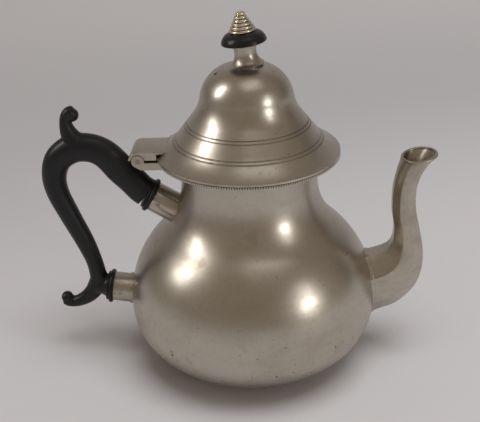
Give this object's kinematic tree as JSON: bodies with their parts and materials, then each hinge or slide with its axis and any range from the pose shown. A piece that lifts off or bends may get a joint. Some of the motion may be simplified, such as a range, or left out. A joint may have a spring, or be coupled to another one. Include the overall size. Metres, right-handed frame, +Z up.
{
  "type": "teapot",
  "caption": "Pear-shaped pewter teapot with a hinged bell lid, faceted curved spout, scrolled black handle and stepped finial.",
  "frame": {"origin": "centre of the round foot, on the surface that the pot stands on", "axes": "+Z up along the pot's axis, +X towards the spout, the handle and the lid hinge on the -X side"},
  "size_m": [0.202, 0.13, 0.189],
  "materials": {
    "pewter_body": "satin, slightly tarnished pewter",
    "pewter_rim": "satin pewter with a milled edge",
    "pewter_spout": "satin cast pewter",
    "pewter_fittings": "satin cast pewter",
    "pewter_lid": "satin spun pewter with fine turned lines",
    "steel_pins": "plain",
    "black_handle": "black, satin lacquered",
    "black_disc": "black, satin lacquered",
    "finial_brass": "polished, pale"
  },
  "bodies": {
    "pot": {"pot_bowl": "pewter_body", "pot_shoulder": "pewter_body", "base_plate": "pewter_body", "rim_ring": "pewter_rim", "spout_tube": "pewter_spout", "spout_lip": "pewter_spout", "spout_root_band": "pewter_spout", "upper_socket": "pewter_fittings", "lower_socket": "pewter_fittings", "lower_socket_band": "pewter_fittings", "hinge_pot_leaf": "pewter_fittings", "hinge_pin": "steel_pins", "handle_pins": "steel_pins", "handle": "black_handle"},
    "lid": {"lid_shell": "pewter_lid", "lid_bezel": "pewter_lid", "finial_neck": "pewter_lid", "finial_disc": "black_disc", "finial_nut": "finial_brass", "finial_stud": "steel_pins", "hinge_lid_leaf": "pewter_fittings"}
  },
  "joints": [
    {"name": "lid_hinge", "type": "hinge", "parent": "pot", "child": "lid", "pos_m": [-0.055, 0, 0.1176], "axis": [0, -1, 0], "range_deg": [0, 80]}
  ]
}
